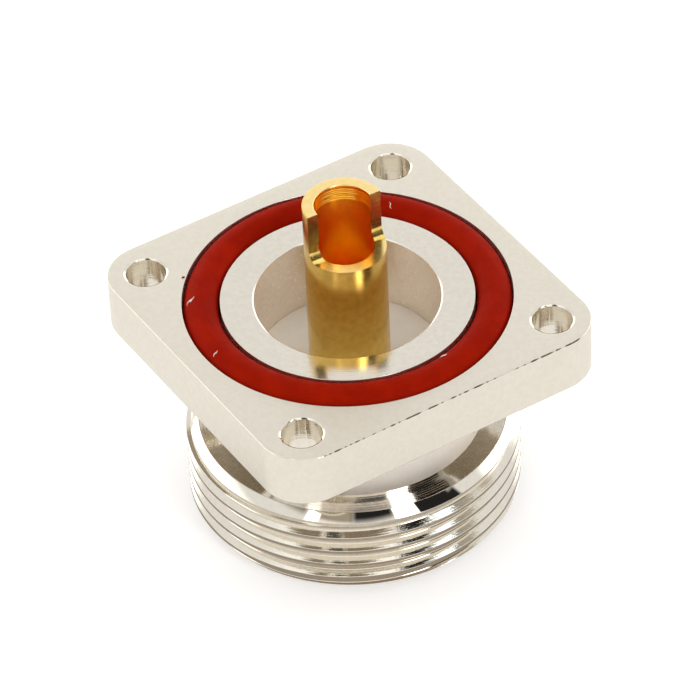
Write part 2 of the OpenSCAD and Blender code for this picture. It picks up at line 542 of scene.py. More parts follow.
def circle(radius: float, steps: int, centre: Flat = (0.0, 0.0)) -> list[Flat]:
    """Gives the points of a circle.

    Args:
        radius: The circle's radius.
        steps: The number of points.
        centre: The circle's centre.

    Returns:
        The points, anticlockwise from +X.
    """
    return [(centre[0] + radius * math.cos(math.tau * step / steps),
             centre[1] + radius * math.sin(math.tau * step / steps)) for step in range(steps)]


def rounded_square(half: float, radius: float, straight_steps: int) -> list[Flat]:
    """Gives the points of a square with round corners.

    Args:
        half: Half the square's side.
        radius: The corners' radius.
        straight_steps: The number of steps along each straight side.

    Returns:
        The points, anticlockwise, with the same number for every size.
    """
    points: list[Flat] = []
    reach = half - radius
    for quarter in range(4):
        turn = math.tau * quarter / 4
        centre = Vector((reach, reach))
        arc = [centre + Vector((radius * math.cos(a), radius * math.sin(a)))
               for a in (math.tau / 4 * step / CORNER_STEPS for step in range(CORNER_STEPS + 1))]
        side = [arc[-1] + Vector((-2 * reach * step / straight_steps, 0))
                for step in range(1, straight_steps)]
        points.extend(swung(spot.x, spot.y, turn) for spot in arc + side)
    return points


@dataclass
class Skin:
    """A closed surface put together from loops of points, with a finish for each face."""

    name: str
    points: list[Point] = field(default_factory=list)
    faces: list[tuple[int, ...]] = field(default_factory=list)
    finishes: list[Finish] = field(default_factory=list)

    def row(self, points: Iterable[Point]) -> list[int]:
        """Adds points and gives their numbers."""
        start = len(self.points)
        self.points.extend(points)
        return list(range(start, len(self.points)))

    def loop(self, outline: Iterable[Flat], z: float) -> list[int]:
        """Adds a level loop of points and gives their numbers."""
        return self.row((x, y, z) for x, y in outline)

    def cap(self, corners: Sequence[int], finish: Finish) -> None:
        """Adds one face."""
        self.faces.append(tuple(corners))
        self.finishes.append(finish)

    def bridge(self, first: Sequence[int], second: Sequence[int], finish: Finish) -> None:
        """Joins two loops of the same length with a band of faces.

        Args:
            first: One loop.
            second: The other loop.
            finish: The band's finish.
        """
        for here, there in zip(range(len(first)), (*range(1, len(first)), 0)):
            self.cap((first[here], first[there], second[there], second[here]), finish)

    def stack(self, loops: Sequence[Sequence[int]], corners: Sequence[Turn]) -> None:
        """Joins each loop to the next, with the finish of the corner that the band leads to."""
        for first, second, corner in zip(loops, loops[1:], corners[1:]):
            self.bridge(first, second, corner.finish)

    def revolve(self, corners: Sequence[Turn], steps: int,
                centre: Flat = (0.0, 0.0)) -> tuple[list[int], list[int]]:
        """Turns a section round an upright axis.

        Args:
            corners: The section's corners, from one end to the other.
            steps: The number of steps round the axis.
            centre: Where the axis stands.

        Returns:
            The first and the last loop.
        """
        smooth = eased(corners)
        loops = [self.loop(circle(corner.out, steps, centre), corner.z) for corner in smooth]
        self.stack(loops, smooth)
        return loops[0], loops[-1]

    def point(self, loop: Sequence[int], tip: Point, finish: Finish) -> None:
        """Closes a loop to a point, as at the end of a drilled hole.

        Args:
            loop: The loop to close.
            tip: The point.
            finish: The finish of the faces.
        """
        end = self.row([tip])
        for here, there in zip(loop, (*loop[1:], loop[0])):
            self.cap((here, there, *end), finish)

    def fill(self, outer: Sequence[int], holes: Sequence[Sequence[int]], finish: Finish) -> None:
        """Covers a level face between an outer loop and the loops of its holes.

        A triangle with all its corners on one round hole lies inside that hole, so it is left out.

        Args:
            outer: The face's outer loop.
            holes: The loops of the holes in it, none of which turns inwards.
            finish: The face's finish.
        """
        numbers: list[int] = []
        edges: list[tuple[int, int]] = []
        for ring in (outer, *holes):
            first = len(numbers)
            numbers.extend(ring)
            count = len(ring)
            edges.extend((first + step, first + (step + 1) % count) for step in range(count))
        flat = [Vector(self.points[number][:2]) for number in numbers]
        result = delaunay_2d_cdt(flat, edges, [], INSIDE, EPSILON)
        sources = result[3]
        voids = [set(ring) for ring in holes]
        for corners in result[2]:
            face = tuple(numbers[sources[corner][0]] for corner in corners)
            if not any(ring.issuperset(face) for ring in voids):
                self.cap(face, finish)

    def make(self) -> bpy.types.Object:
        """Makes the piece from the loops joined so far.

        Returns:
            The piece, in metres, smooth apart from its sharp edges.
        """
        kinds = list(dict.fromkeys(self.finishes))
        mesh = bpy.data.meshes.new(self.name)
        mesh.from_pydata([[part * MM for part in point] for point in self.points], [], self.faces)
        for kind in kinds:
            mesh.materials.append(material_of(kind))
        for face, kind in zip(mesh.polygons, self.finishes):
            face.material_index = kinds.index(kind)
        tidy = bmesh.new()
        tidy.from_mesh(mesh)
        bmesh.ops.recalc_face_normals(tidy, faces=tidy.faces)
        tidy.to_mesh(mesh)
        tidy.free()
        piece = bpy.data.objects.new(self.name, mesh)
        bpy.context.scene.collection.objects.link(piece)
        smooth(piece)
        return piece


MATERIALS: dict[Finish, bpy.types.Material] = {}


def material_of(finish: Finish) -> bpy.types.Material:
    """Gives a finish's material, made once."""
    if finish not in MATERIALS:
        MATERIALS[finish] = finish.material()
    return MATERIALS[finish]


def smooth(piece: bpy.types.Object) -> None:
    """Shades a piece smoothly apart from its sharp edges."""
    piece.data.shade_smooth()
    piece.data.set_sharp_from_angle(angle=SHARP_TURN)


def cut(piece: bpy.types.Object, tool: bpy.types.Object) -> None:
    """Takes one closed piece out of another, and leaves the tool's finishes on the cut faces.

    Args:
        piece: The piece to cut.
        tool: The solid to take out of it, which is removed.
    """
    change = piece.modifiers.new("cut", "BOOLEAN")
    change.operation = "DIFFERENCE"
    change.solver = "EXACT"
    change.material_mode = "TRANSFER"
    change.object = tool
    apply_modifiers(piece)
    bpy.data.objects.remove(tool)
    smooth(piece)


def apply_modifiers(piece: bpy.types.Object) -> None:
    """Turns a piece's modifiers into its mesh."""
    graph = bpy.context.evaluated_depsgraph_get()
    graph.update()
    mesh = bpy.data.meshes.new_from_object(piece.evaluated_get(graph))
    old = piece.data
    piece.modifiers.clear()
    piece.data = mesh
    mesh.name = piece.name
    bpy.data.meshes.remove(old)


def place(piece: bpy.types.Object, slot: str, *nodes: str) -> bpy.types.Object:
    """Fixes a piece to the connector and hides the solids that it stands for.

    Args:
        piece: The piece.
        slot: The record's material slot; not used.
        *nodes: The solids that it replaces.

    Returns:
        The same piece.
    """
    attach(piece, BODY)
    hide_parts(*nodes)
    return piece


def mount_dims(name: str) -> dict[str, float]:
    """Gives the sizes of one of the record's mounts, in millimetres."""
    return next(mount["dims"] for mount in frame["record"]["mounts"] if mount["name"] == name)


# ---------------------------------------------------------------- body


@dataclass
class Thread:
    """The right-hand coupling thread, cut as one helical groove that runs out into the bevel."""

    crest_r: float
    pitch: float = 1.5
    crest_w: float = 0.33
    depth: float = 0.58
    flank: float = math.radians(30)
    edge_ease: float = 0.03
    # How far each eased edge reaches in and drops, as shares of its size, and how far the tool stands proud
    ease_reach: float = 0.6
    ease_drop: float = 0.35
    proud: float = 0.001
    # Height of one crest's upper edge, at the bearing where it was measured
    crest_z: float = 6.35
    crest_bearing: float = math.radians(-31)
    # Whole turns that the tool makes past that bearing before it is clear of the metal
    turns_above: int = 1
    clear: float = 0.6

    def section(self) -> list[Turn]:
        """Gives the groove's section round its middle, closed outside the thread."""
        half = (self.pitch - self.crest_w) / 2
        run = self.depth * math.tan(self.flank)
        root = self.crest_r - self.depth
        outside = self.crest_r + self.clear
        crest = self.crest_r + self.proud
        lip = self.edge_ease
        reach, drop = lip * self.ease_reach, lip * self.ease_drop
        return [
            Turn(outside, half + lip, THREAD),
            Turn(crest, half + lip, EDGE),
            Turn(self.crest_r - reach, half - drop, EDGE),
            Turn(root + lip, half - run + reach, THREAD),
            Turn(root, half - run - lip, THREAD),
            Turn(root, -half + run + lip, CREST),
            Turn(root + lip, -half + run - reach, THREAD),
            Turn(self.crest_r - reach, -half + drop, THREAD),
            Turn(crest, -half - lip, EDGE),
            Turn(outside, -half - lip, EDGE),
        ]

    def tool(self) -> bpy.types.Object:
        """Makes the solid that cuts the groove."""
        skin = Skin("thread_tool")
        corners = self.section()
        middle = self.crest_z + (self.pitch - self.crest_w) / 2
        turns_below = math.ceil((middle + self.pitch) / self.pitch)
        steps = (turns_below + self.turns_above) * ROUND_STEPS
        rows: list[list[int]] = []
        for step in range(steps + 1):
            turn = math.tau * (step / ROUND_STEPS - turns_below)
            angle = self.crest_bearing + turn
            z = middle + self.pitch * turn / math.tau
            rows.append(skin.row([(corner.out * math.cos(angle), corner.out * math.sin(angle), z + corner.z)
                                  for corner in corners]))
        for first, second in zip(rows, rows[1:]):
            for side, corner in enumerate((*corners[1:], corners[0])):
                after = (side + 1) % len(corners)
                skin.cap((first[side], first[after], second[after], second[side]), corner.finish)
        for row in (rows[0], rows[-1]):
            skin.cap(row, THREAD)
        return skin.make()


@dataclass
class FlangedBody:
    """The body: square flange, neck, shoulder and threaded barrel, with the bore through them."""

    half: float
    panel_z: float
    thread_r: float
    hole_reach: float
    hole_r: float
    flange_t: float = 4.9
    corner_r: float = 4.0
    neck_r: float = 11.35
    shoulder_r: float = 13.35
    shoulder_z: float = 8.4
    # Spacing and slope of the ridges that facing the shoulder left
    ridge: float = 0.25
    ridge_slope: float = 1.0
    ridge_rough: float = 0.04
    # Share of the pitch that a ridge's steep side takes, and how much the ridges' heights vary
    ridge_steep: float = 0.04
    ridge_vary: Flat = (0.9, 1.1)
    # How far inside the neck and the shoulder's edge a point lies that is on the ridges
    ridge_margin: Flat = (0.01, 0.005)
    # Bearings, in degrees, between which the facing cut chattered, and the height its ridges keep elsewhere
    chatter: Flat = (-62.0, 5.0)
    chatter_fade: float = 9.0
    calm: float = 0.3
    # A narrow land between the bevel's lower edge and the first thread
    land_r: float = 14.1
    land_top: float = 7.65
    land_foot: float = 7.3
    end_chamfer: float = 0.95
    groove_in: float = 10.87
    groove_out: float = 14.12
    groove_z: float = 18.7
    line_r: float = 8.0
    bore_break: float = 0.12
    lip_r: float = 7.3
    lip_top: float = 9.6
    lip_bottom: float = 8.8
    guide_r: float = 9.1
    guide_z: float = 6.5
    mouth_chamfer: float = 1.2
    hole_break: float = 0.16
    # How deep each edge break is for its width
    break_slope: float = 0.55
    # Ease of the flange's edges, and the widths of the plain faces that are kept along them and round holes
    edge: float = 0.07
    border: float = 0.6
    collar: float = 0.2
    # How far in from the +X side and round its corners the mill nicked the edge, and what share is nicked
    nick_reach: Flat = (0.2, 1.0)
    nick_share: float = 0.5
    # The break in a nick, between nicks and elsewhere, as factors of the plain ease, and the least break
    # painted with a nick's shade
    nick_wear: Flat = (1.2, 1.6)
    between_wear: Flat = (0.3, 0.5)
    rubbed_wear: Flat = (0.75, 1.05)
    nick_shade_least: float = 1.1
    seed: int = 16

    @classmethod
    def from_frame(cls) -> "FlangedBody":
        """Takes the body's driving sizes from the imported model."""
        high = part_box("body")[1]
        holes = mount_dims("panel_holes")
        return cls(half=high.x / MM, panel_z=high.z / MM, thread_r=mount_dims("coupling_thread")["r_mm"],
                   hole_reach=holes["spacing_x_mm"] / 2, hole_r=holes["hole_r_mm"])

    def turned(self) -> list[Turn]:
        """Gives the turned section, from the seal groove through the bore and up the outside."""
        top, floor = self.panel_z, self.groove_z
        under = top - self.flange_t
        return [
            Turn(self.groove_out + self.collar, top, PANEL_FACE),
            Turn(self.groove_out, top, PANEL_FACE, 0.04),
            Turn(self.groove_out, floor, BORE, 0.15),
            Turn(self.groove_in, floor, FACED, 0.15),
            Turn(self.groove_in, top, BORE, 0.04),
            Turn(self.line_r + self.bore_break, top, LAND, 0.02),
            Turn(self.line_r, top - self.bore_break * self.break_slope, EDGE, 0.02),
            Turn(self.line_r, self.lip_top, BORE),
            Turn(self.lip_r, self.lip_top, FACED, 0.05),
            Turn(self.lip_r, self.lip_bottom, BORE, 0.05),
            Turn(self.line_r, self.lip_bottom, FACED),
            Turn(self.line_r, self.guide_z, BORE, 0.05),
            Turn(self.guide_r, self.guide_z, FACED),
            Turn(self.guide_r, self.mouth_chamfer, BORE, 0.03),
            Turn(self.guide_r + self.mouth_chamfer, 0, FACED, 0.03),
            Turn(self.thread_r - self.end_chamfer, 0, FACED, 0.03),
            Turn(self.thread_r, self.end_chamfer, BEVEL, 0.02),
            Turn(self.thread_r, self.land_foot, CREST, 0.02),
            Turn(self.land_r, self.land_foot, THREAD, 0.02),
            Turn(self.land_r, self.land_top, CREST, 0.02),
            Turn(self.shoulder_r, self.shoulder_z, BEVEL, 0.05),
            *self.ridges(),
            Turn(self.neck_r, under, NECK, 0.2),
            Turn(self.neck_r + 2 * self.collar, under, UNDERSIDE),
        ]

    def ridges(self) -> list[Turn]:
        """Gives the shoulder's section, from its edge to the neck, as the ridges of a coarse facing cut."""
        rng = Random(self.seed)
        count = round((self.shoulder_r - self.neck_r) / self.ridge)
        pitch = (self.shoulder_r - self.neck_r) / count
        corners: list[Turn] = []
        for step in range(count):
            out = self.shoulder_r - pitch * step
            crest = self.shoulder_z - (0.0 if step == count - 1 else rng.uniform(0.0, self.ridge_rough))
            drop = pitch * self.ridge_slope * rng.uniform(*self.ridge_vary)
            corners.append(Turn(out - pitch * self.ridge_steep, crest - drop, SHOULDER))
            corners.append(Turn(out - pitch, crest, SHOULDER))
        return corners

    def chattered(self, x: float, y: float) -> float:
        """Gives the share of their full height that the shoulder's ridges have at a point."""
        bearing = math.degrees(math.atan2(y, x))
        low, high = self.chatter
        beyond = max(low - bearing, bearing - high, 0.0)
        return 1.0 - (1.0 - self.calm) * min(beyond / self.chatter_fade, 1.0)

    def settle(self, skin: Skin) -> None:
        """Lowers the shoulder's ridges where the facing cut ran true.

        Args:
            skin: The body's surface, with the turned section on it.
        """
        inner, outer = self.neck_r + self.ridge_margin[0], self.shoulder_r - self.ridge_margin[1]
        for index, (x, y, z) in enumerate(skin.points):
            below = self.shoulder_z - z
            if inner < math.hypot(x, y) < outer and 0 < below < 2 * self.ridge:
                skin.points[index] = (x, y, self.shoulder_z - below * self.chattered(x, y))

    def hole(self) -> list[Turn]:
        """Gives the section of a mounting hole, from the top down."""
        top = self.panel_z
        under = top - self.flange_t
        wide = self.hole_r + self.hole_break
        drop = self.hole_break * self.break_slope
        return [
            Turn(wide + self.collar, top, PANEL_FACE),
            Turn(wide, top, PANEL_FACE, 0.01),
            Turn(self.hole_r, top - drop, EDGE, 0.02),
            Turn(self.hole_r, under + drop, HOLE, 0.02),
            Turn(wide, under, EDGE),
            Turn(wide + self.collar, under, PANEL_FACE),
        ]

    def side(self) -> list[Turn]:
        """Gives the section of the flange's rim, as distances in from its sides, from the top down."""
        top = self.panel_z
        under = top - self.flange_t
        return [
            Turn(self.border, top, PANEL_FACE),
            Turn(0, top, PANEL_FACE, self.edge),
            Turn(0, under, FLANGE_SIDE, self.edge),
            Turn(self.border, under, PANEL_FACE),
        ]

    def rim(self, skin: Skin) -> tuple[list[int], list[int]]:
        """Adds the flange's rim.

        Args:
            skin: The body's surface.

        Returns:
            The rim's top and bottom loops.
        """
        corners = eased(self.side())
        steps = round(2 * (self.half - self.corner_r) / SIDE_STEP)
        outer = rounded_square(self.half, self.corner_r, steps)
        inner = rounded_square(self.half - self.border, self.corner_r - self.border, steps)
        wear = self.wear(outer)
        low = self.panel_z - 2 * self.edge
        loops: list[list[int]] = []
        for corner in corners:
            worn = corner.z > low and corner.out < 2 * self.edge
            ring: list[Point] = []
            for (x, y), (inner_x, inner_y), amount in zip(outer, inner, wear):
                scale = amount if worn else 1.0
                share = corner.out * scale / self.border
                ring.append((x + (inner_x - x) * share, y + (inner_y - y) * share,
                             self.panel_z - (self.panel_z - corner.z) * scale))
            loops.append(skin.row(ring))
        faces = len(skin.faces)
        skin.stack(loops, corners)
        # Painted shade: the faces of the top edge's deepest nicks get a dark finish
        for row, (corner, after) in enumerate(zip(corners, corners[1:])):
            for step, amount in enumerate(wear):
                if amount > self.nick_shade_least and after.z > low and corner.out < self.edge:
                    skin.finishes[faces + row * len(outer) + step] = PAINTED_NICK_SHADE
        return loops[0], loops[-1]

    def wear(self, outline: Sequence[Flat]) -> list[float]:
        """Gives how far the flange's top edge is broken at each point, as a factor of its plain ease.

        The last pass of the mill along +X left a row of nicks, and the other edges are only rubbed.

        Args:
            outline: The flange's outline.

        Returns:
            A factor for each point.
        """
        rng = Random(self.seed)
        side, end = self.half - self.nick_reach[0], self.half - self.corner_r + self.nick_reach[1]
        factors: list[float] = []
        for x, y in outline:
            milled = x > side and abs(y) < end
            if milled and rng.random() < self.nick_share:
                factors.append(rng.uniform(*self.nick_wear))
            else:
                factors.append(rng.uniform(*(self.between_wear if milled else self.rubbed_wear)))
        return factors

    def build(self) -> bpy.types.Object:
        """Builds and places the body.

        Returns:
            The finished piece.
        """
        skin = Skin("plated_body")
        groove_edge, neck_foot = skin.revolve(self.turned(), ROUND_STEPS)
        self.settle(skin)
        rim_top, rim_bottom = self.rim(skin)
        holes = [skin.revolve(self.hole(), HOLE_STEPS, (x * self.hole_reach, y * self.hole_reach))
                 for x in (-1, 1) for y in (-1, 1)]
        skin.fill(rim_top, [groove_edge, *(hole[0] for hole in holes)], PANEL_FACE)
        skin.fill(rim_bottom, [neck_foot, *(hole[1] for hole in holes)], UNDERSIDE)
        piece = skin.make()
        cut(piece, Thread(self.thread_r).tool())
        return place(piece, "nickel", "body")


# ---------------------------------------------------------------- seal


@dataclass(frozen=True)
class Strand:
    """A scrap on the O-ring, with its bearing and its run in degrees, and half its thickness."""

    bearing: float
    out: float
    run: float
    length: float
    thick: float = 0.05
    finish: Finish = LINT


@dataclass
class FlangeSeal:
    """The O-ring: a round rubber section settled in its groove, a touch off centre, with lint on it."""

    middle_r: float
    section_r: float
    floor_z: float
    section_steps: int = 40
    offset: Flat = (0.03, -0.02)
    # How far the ring strays from a true circle, and the number and the level of the waves that it strays in
    wander: float = 0.03
    waves: float = 1.3
    wave_level: float = 4.0
    # Height of the mould line, and how far the ring's foot is flattened on the groove's floor
    flash: float = 0.025
    squash: float = 0.04
    panel_z: float = 21.0
    scraps: tuple[Strand, ...] = (
        Strand(-120.4, 13.33, 104, 0.9, 0.045),
        Strand(-119.8, 13.3, 100, 0.22, 0.075),
        Strand(-88.7, 13.35, 108, 0.5),
        Strand(10.3, 11.79, 89, 0.65),
        Strand(129.0, 11.88, -13, 0.6, 0.04),
        Strand(-134.7, 14.36, 100, 0.32, 0.07, RUBBER),
    )
    strand_steps: int = 10
    strand_sides: int = 6
    # A scrap's bend as a share of its length, and its ends and its lift as shares of its thickness
    strand_bend: float = 0.12
    strand_end: float = 0.35
    strand_lift: float = 0.6

    @classmethod
    def from_frame(cls) -> "FlangeSeal":
        """Takes the O-ring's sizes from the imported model."""
        low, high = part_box("flange_seal")
        flat = cls.squash
        section_r = ((high.z - low.z) / MM + flat) / 2
        return cls(middle_r=high.x / MM - section_r, section_r=section_r, floor_z=low.z / MM,
                   panel_z=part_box("body")[1].z / MM)

    def ground(self, out: float) -> float:
        """Gives the height of the rubber, or of the panel face beyond it, at a distance out."""
        away = abs(out - self.middle_r)
        if away >= self.section_r:
            return self.panel_z
        return self.floor_z + self.section_r - self.squash + math.sqrt(self.section_r ** 2 - away ** 2)

    def lay(self, skin: Skin, scrap: Strand) -> None:
        """Lays a scrap of lint or rubber on the ring.

        Args:
            skin: The ring's surface.
            scrap: The scrap.
        """
        bearing, run = math.radians(scrap.bearing), math.radians(scrap.run)
        middle = Vector((math.cos(bearing), math.sin(bearing))) * scrap.out
        ahead = Vector((math.cos(run), math.sin(run)))
        across = Vector((-ahead.y, ahead.x))
        loops: list[list[int]] = []
        for step in range(self.strand_steps + 1):
            share = step / self.strand_steps
            bend = self.strand_bend * scrap.length * math.sin(math.tau * share)
            spot = middle + ahead * scrap.length * (share - 0.5) + across * bend
            thick = scrap.thick * (self.strand_end + (1 - self.strand_end) * math.sin(math.pi * share))
            height = self.ground(spot.length) + thick * self.strand_lift
            ring: list[Point] = []
            for side in range(self.strand_sides):
                turn = math.tau * side / self.strand_sides
                rim = spot + across * thick * math.cos(turn)
                ring.append((rim.x, rim.y, height + thick * math.sin(turn)))
            loops.append(skin.row(ring))
        for first, second in zip(loops, loops[1:]):
            skin.bridge(first, second, scrap.finish)
        for end in (loops[0], loops[-1]):
            skin.cap(end, scrap.finish)

    def build(self) -> bpy.types.Object:
        """Builds and places the O-ring.

        Returns:
            The finished piece.
        """
        skin = Skin("red_o_ring")
        centre_z = self.floor_z + self.section_r - self.squash
        rings: list[list[int]] = []
        for step in range(ROUND_STEPS):
            angle = math.tau * step / ROUND_STEPS
            away = Vector((math.cos(angle), math.sin(angle)))
            drift = self.wander * noise.noise(Vector((away.x * self.waves, away.y * self.waves,
                                                         self.wave_level)))
            ring: list[Point] = []
            for part in range(self.section_steps):
                turn = math.tau * part / self.section_steps
                ridge = self.flash if part in (0, self.section_steps // 2) else 0.0
                out = self.middle_r + drift + (self.section_r + ridge) * math.cos(turn)
                z = max(self.floor_z, centre_z + self.section_r * math.sin(turn))
                ring.append((away.x * out + self.offset[0], away.y * out + self.offset[1], z))
            rings.append(skin.row(ring))
        for first, second in zip(rings, rings[1:] + rings[:1]):
            skin.bridge(first, second, RUBBER)
        for scrap in self.scraps:
            self.lay(skin, scrap)
        return place(skin.make(), "seal_rubber", "flange_seal")


# ---------------------------------------------------------------- insulator


@dataclass
class Bead:
    """An insulating bead: a turned ring that fills the line bore round the contact."""

    node: str
    hole_r: float = 3.52
    edge: float = 0.08
    recess_r: float = 0.0
    recess_depth: float = 0.0

    def build(self) -> bpy.types.Object:
        """Builds and places the bead.

        Returns:
            The finished piece.
        """
        low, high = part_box(self.node)
        outer, bottom, top = high.x / MM, low.z / MM, high.z / MM
        corners = [
            Turn(self.hole_r, bottom, BEAD),
            Turn(outer, bottom, BEAD, self.edge),
            Turn(outer, top, BEAD, self.edge),
        ]
        if self.recess_depth:
            corners += [
                Turn(self.recess_r, top, BEAD, self.edge),
                Turn(self.recess_r, top - self.recess_depth, BEAD),
                Turn(self.hole_r, top - self.recess_depth, BEAD),
            ]
        else:
            corners.append(Turn(self.hole_r, top, BEAD))
        skin = Skin(f"turned_{self.node}")
        first, last = skin.revolve(corners, ROUND_STEPS)
        skin.bridge(last, first, BEAD)
        return place(skin.make(), "ptfe", self.node)


# ---------------------------------------------------------------- contact


@dataclass
class CentreContact:
    """The gold-plated contact: slotted socket below, collar, and a solder cup with its side cut open."""

    cup_z: float
    socket_z: float
    outer_r: float = 3.5
    cup_r: float = 2.5
    cup_depth: float = 9.0
    cup_break: float = 0.08
    socket_r: float = 2.05
    socket_depth: float = 6.2
    socket_chamfer: float = 0.35
    collar_r: float = 4.7
    collar_z: float = 11.2
    collar_t: float = 1.0
    slot_w: float = 0.5
    slot_l: float = 4.4
    slot_bearings: Flat = (math.tau / 8, 3 * math.tau / 8)
    notch_h: float = 4.6
    notch_offset: float = 0.1
    heel_r: float = 0.9
    notch_turn: float = math.radians(-3.5)
    drill_half: float = math.radians(59)
    # The rings left inside the cup's mouth: their start below the rim, spacing, number, slope and unevenness
    ring_start: float = 0.3
    ring_pitch: float = 0.2
    ring_count: int = 6
    ring_slope: float = 0.24
    ring_vary: Flat = (0.25, 0.6)
    seed: int = 7
    clear: float = 1.0

    @classmethod
    def from_frame(cls) -> "CentreContact":
        """Takes the contact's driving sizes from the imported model."""
        low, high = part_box("center_contact")
        return cls(cup_z=high.z / MM, socket_z=low.z / MM, cup_r=mount_dims("solder_cup")["r_mm"],
                   socket_r=mount_dims("socket")["r_mm"])

    def section(self) -> list[Turn]:
        """Gives the turned section, from the bottom of the socket's hole round to the bottom of the cup."""
        socket_end = self.socket_z + self.socket_depth
        cup_end = self.cup_z - self.cup_depth
        ridge = self.collar_z + self.collar_t
        return [
            Turn(self.socket_r, socket_end, GOLD_INSIDE),
            Turn(self.socket_r, self.socket_z + self.socket_chamfer, GOLD_INSIDE),
            Turn(self.socket_r + self.socket_chamfer, self.socket_z, GOLD_CUT, 0.03),
            Turn(self.outer_r - self.socket_chamfer, self.socket_z, GOLD_CUT, 0.03),
            Turn(self.outer_r, self.socket_z + self.socket_chamfer, GOLD_CUT, 0.1),
            Turn(self.outer_r, self.collar_z, GOLD_OUTSIDE),
            Turn(self.collar_r, self.collar_z, GOLD_OUTSIDE, 0.05),
            Turn(self.collar_r, ridge, GOLD_OUTSIDE, 0.05),
            Turn(self.outer_r, ridge, GOLD_OUTSIDE),
            Turn(self.outer_r, self.cup_z, GOLD_OUTSIDE, self.cup_break),
            Turn(self.cup_r, self.cup_z, GOLD_RIM, self.cup_break),
            *self.rings(),
            Turn(self.cup_r, cup_end, GOLD_INSIDE),
        ]

    def rings(self) -> list[Turn]:
        """Gives the section of the rings that boring left inside the cup's mouth, from the top down."""
        rng = Random(self.seed)
        corners: list[Turn] = []
        for step in range(self.ring_count):
            z = self.cup_z - self.ring_start - self.ring_pitch * step
            depth = self.ring_pitch * self.ring_slope * rng.uniform(*self.ring_vary)
            corners.append(Turn(self.cup_r, z, GOLD_RINGS if step else GOLD_INSIDE))
            corners.append(Turn(self.cup_r + depth, z - self.ring_pitch / 2, GOLD_RINGS))
        end = self.cup_z - self.ring_start - self.ring_pitch * self.ring_count
        return [*corners, Turn(self.cup_r, end, GOLD_RINGS)]

    def notch_tool(self) -> bpy.types.Object:
        """Makes the solid that cuts the opening in the side of the cup."""
        floor = self.cup_z - self.notch_h
        wide = 2 * self.outer_r
        top = self.cup_z + self.clear
        quarter = [math.tau / 4 * step / CORNER_STEPS for step in range(CORNER_STEPS + 1)]
        heel = [(self.notch_offset + self.heel_r * (1 - math.sin(turn)),
                 floor + self.heel_r * (1 - math.cos(turn))) for turn in quarter]
        outline = [(wide, floor), *heel, (self.notch_offset, top), (wide, top)]
        skin = Skin("notch_tool")
        sides = [skin.row([(*swung(x, y, self.notch_turn), z) for x, z in outline]) for y in (-wide, wide)]
        skin.bridge(sides[0], sides[1], GOLD_CUT)
        # The first face is the opening's level floor, which gets the rim's lighter tint as painted light
        skin.finishes[0] = GOLD_RIM
        for side in sides:
            skin.cap(side, GOLD_CUT)
        return skin.make()

    def slot_tool(self, turn: float) -> bpy.types.Object:
        """Makes the solid that saws one slot across the socket.

        Args:
            turn: The slot's bearing.

        Returns:
            The cutting solid.
        """
        skin = Skin("slot_tool")
        reach, half = 2 * self.outer_r, self.slot_w / 2
        outline = [(-reach, -half), (reach, -half), (reach, half), (-reach, half)]
        turned = [swung(x, y, turn) for x, y in outline]
        bottom = skin.loop(turned, self.socket_z - self.clear)
        top = skin.loop(turned, self.socket_z + self.slot_l)
        skin.bridge(bottom, top, GOLD_CUT)
        for side in (bottom, top):
            skin.cap(side, GOLD_CUT)
        return skin.make()

    def build(self) -> bpy.types.Object:
        """Builds and places the contact.

        Returns:
            The finished piece.
        """
        skin = Skin("gilt_contact")
        corners = self.section()
        loops = skin.revolve(corners, ROUND_STEPS)
        for loop, corner, way in zip(loops, (corners[0], corners[-1]), (1, -1)):
            skin.point(loop, (0, 0, corner.z + way * corner.out / math.tan(self.drill_half)), GOLD_INSIDE)
        piece = skin.make()
        cut(piece, self.notch_tool())
        for bearing in self.slot_bearings:
            cut(piece, self.slot_tool(bearing))
        return place(piece, "gold", "center_contact")


# ---------------------------------------------------------------- studio


@dataclass(frozen=True)
class SkyPatch:
    """A lit or a dark panel of the studio, between two bearings and two elevations in degrees."""

    name: str
    bearings: Flat
    elevations: Flat
    light: Colour
    soft: float = 3.0


